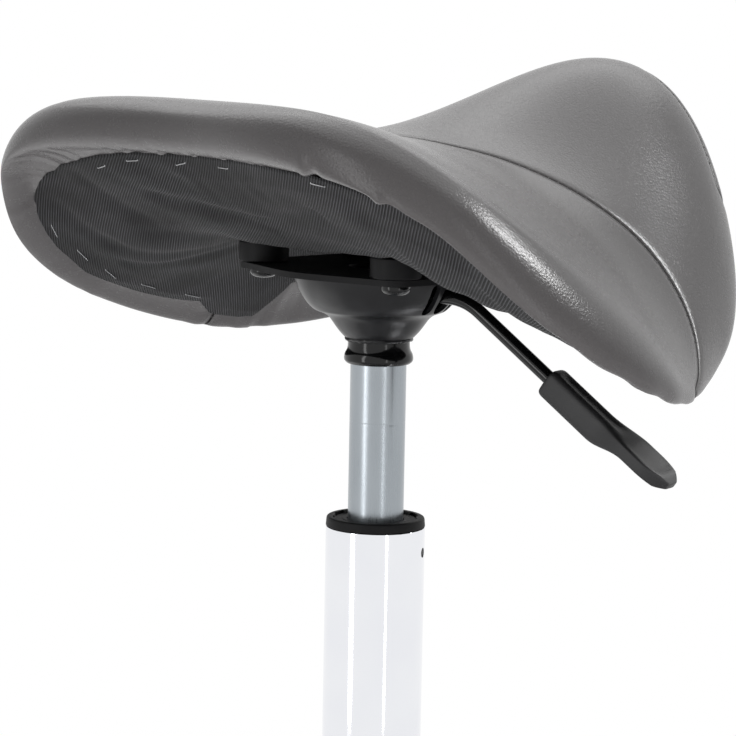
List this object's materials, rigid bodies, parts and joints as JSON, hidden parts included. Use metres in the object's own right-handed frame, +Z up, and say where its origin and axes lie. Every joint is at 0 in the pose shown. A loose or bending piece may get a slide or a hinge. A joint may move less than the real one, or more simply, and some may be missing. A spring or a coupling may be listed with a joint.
{
  "type": "rolling stool",
  "caption": "Rolling saddle stool: padded saddle seat on a gas lift with a height lever, over a chromed star base with swivelling twin-wheel casters.",
  "frame": {"origin": "on the floor, on the column's axis", "axes": "+Z up the column, -Y the way the sitter faces, -X the sitter's right, where the lever is"},
  "size_m": [0.5432, 0.4779, 0.5431],
  "materials": {
    "cover_leather": "fine grain, soft sheen, mid grey",
    "foam": "moulded foam",
    "plywood": "raw moulded plywood",
    "dust_cloth": "ribbed charcoal cloth",
    "black_steel": "semi-gloss black",
    "black_plastic": "moulded, matt black",
    "cylinder_steel": "satin grey",
    "chrome": "polished",
    "zinc": "zinc plated",
    "bumper_rubber": "matt black",
    "wheel_rubber": "matt black"
  },
  "bodies": {
    "base": {"star_base": "chrome", "outer_column": "chrome", "guide_bush": "black_plastic", "caster_stem_1": "zinc", "caster_stem_2": "zinc", "caster_stem_3": "zinc", "caster_stem_4": "zinc", "caster_stem_5": "zinc"},
    "spindle": {"piston_rod": "cylinder_steel", "piston": "black_plastic", "thrust_bearing": "cylinder_steel", "bumper": "bumper_rubber", "retaining_clip": "zinc"},
    "seat": {"gas_cylinder": "cylinder_steel", "bell_housing": "black_steel", "taper_socket": "black_steel", "lever_bracket": "black_steel", "seat_plate": "black_steel", "plate_bolt_rear_left": "black_steel", "plate_bolt_rear_right": "black_steel", "plate_bolt_front_left": "black_steel", "plate_bolt_front_right": "black_steel", "spacer_rear_left": "black_plastic", "spacer_rear_right": "black_plastic", "spacer_front_left": "black_plastic", "spacer_front_right": "black_plastic", "board_nut_rear_left": "zinc", "board_nut_rear_right": "zinc", "board_nut_front_left": "zinc", "board_nut_front_right": "zinc", "seat_board": "plywood", "foam_pad": "foam", "seat_cover": "cover_leather", "dust_cover": "dust_cloth"},
    "lever": {"lever_rod": "black_steel", "lever_paddle": "black_plastic", "lever_pin": "zinc"},
    "valve": {"valve_pin": "zinc"},
    "caster_1": {"caster_hood_1": "black_plastic", "caster_axle_1": "zinc"},
    "left_wheel_1": {"wheel_left_1": "wheel_rubber"},
    "right_wheel_1": {"wheel_right_1": "wheel_rubber"},
    "caster_2": {"caster_hood_2": "black_plastic", "caster_axle_2": "zinc"},
    "left_wheel_2": {"wheel_left_2": "wheel_rubber"},
    "right_wheel_2": {"wheel_right_2": "wheel_rubber"},
    "caster_3": {"caster_hood_3": "black_plastic", "caster_axle_3": "zinc"},
    "left_wheel_3": {"wheel_left_3": "wheel_rubber"},
    "right_wheel_3": {"wheel_right_3": "wheel_rubber"},
    "caster_4": {"caster_hood_4": "black_plastic", "caster_axle_4": "zinc"},
    "left_wheel_4": {"wheel_left_4": "wheel_rubber"},
    "right_wheel_4": {"wheel_right_4": "wheel_rubber"},
    "caster_5": {"caster_hood_5": "black_plastic", "caster_axle_5": "zinc"},
    "left_wheel_5": {"wheel_left_5": "wheel_rubber"},
    "right_wheel_5": {"wheel_right_5": "wheel_rubber"}
  },
  "joints": [
    {"name": "seat_swivel", "type": "hinge", "parent": "base", "child": "spindle", "pos_m": [0, 0, 0.0665], "axis": [0, 0, 1], "continuous": true},
    {"name": "seat_lift", "type": "slide", "parent": "spindle", "child": "seat", "axis": [0, 0, 1], "range_m": [-0.07, 0.07]},
    {"name": "lever_lift", "type": "hinge", "parent": "seat", "child": "lever", "pos_m": [-0.02511, -0.00673, 0.4272], "axis": [-0.2588, 0.9659, 0], "range_deg": [0, 8], "stiffness_Nm_per_rad": 2, "springref_deg": -5.73},
    {"name": "valve_press", "type": "slide", "parent": "seat", "child": "valve", "axis": [0, 0, -1], "range_m": [0, 0.0045]},
    {"name": "caster_swivel_1", "type": "hinge", "parent": "base", "child": "caster_1", "pos_m": [0.21399, 0.06953, 0.057], "axis": [0, 0, 1], "continuous": true},
    {"name": "left_wheel_spin_1", "type": "hinge", "parent": "caster_1", "child": "left_wheel_1", "pos_m": [0.23477, 0.05753, 0.025], "axis": [0.5, 0.866, 0], "continuous": true},
    {"name": "right_wheel_spin_1", "type": "hinge", "parent": "caster_1", "child": "right_wheel_1", "pos_m": [0.23477, 0.05753, 0.025], "axis": [0.5, 0.866, 0], "continuous": true},
    {"name": "caster_swivel_2", "type": "hinge", "parent": "base", "child": "caster_2", "pos_m": [0, 0.225, 0.057], "axis": [0, 0, 1], "continuous": true},
    {"name": "left_wheel_spin_2", "type": "hinge", "parent": "caster_2", "child": "left_wheel_2", "pos_m": [0, 0.201, 0.025], "axis": [1, 0, 0], "continuous": true},
    {"name": "right_wheel_spin_2", "type": "hinge", "parent": "caster_2", "child": "right_wheel_2", "pos_m": [0, 0.201, 0.025], "axis": [1, 0, 0], "continuous": true},
    {"name": "caster_swivel_3", "type": "hinge", "parent": "base", "child": "caster_3", "pos_m": [-0.21399, 0.06953, 0.057], "axis": [0, 0, 1], "continuous": true},
    {"name": "left_wheel_spin_3", "type": "hinge", "parent": "caster_3", "child": "left_wheel_3", "pos_m": [-0.23477, 0.05753, 0.025], "axis": [0.5, -0.866, 0], "continuous": true},
    {"name": "right_wheel_spin_3", "type": "hinge", "parent": "caster_3", "child": "right_wheel_3", "pos_m": [-0.23477, 0.05753, 0.025], "axis": [0.5, -0.866, 0], "continuous": true},
    {"name": "caster_swivel_4", "type": "hinge", "parent": "base", "child": "caster_4", "pos_m": [-0.13225, -0.18203, 0.057], "axis": [0, 0, 1], "continuous": true},
    {"name": "left_wheel_spin_4", "type": "hinge", "parent": "caster_4", "child": "left_wheel_4", "pos_m": [-0.13724, -0.2055, 0.025], "axis": [0.9781, -0.2079, 0], "continuous": true},
    {"name": "right_wheel_spin_4", "type": "hinge", "parent": "caster_4", "child": "right_wheel_4", "pos_m": [-0.13724, -0.2055, 0.025], "axis": [0.9781, -0.2079, 0], "continuous": true},
    {"name": "caster_swivel_5", "type": "hinge", "parent": "base", "child": "caster_5", "pos_m": [0.13225, -0.18203, 0.057], "axis": [0, 0, 1], "continuous": true},
    {"name": "left_wheel_spin_5", "type": "hinge", "parent": "caster_5", "child": "left_wheel_5", "pos_m": [0.13724, -0.2055, 0.025], "axis": [0.9781, 0.2079, 0], "continuous": true},
    {"name": "right_wheel_spin_5", "type": "hinge", "parent": "caster_5", "child": "right_wheel_5", "pos_m": [0.13724, -0.2055, 0.025], "axis": [0.9781, 0.2079, 0], "continuous": true}
  ],
  "couplings": [
    {"joint": "valve_press", "follows": "lever_lift", "m_per_rad": 0.03}
  ]
}
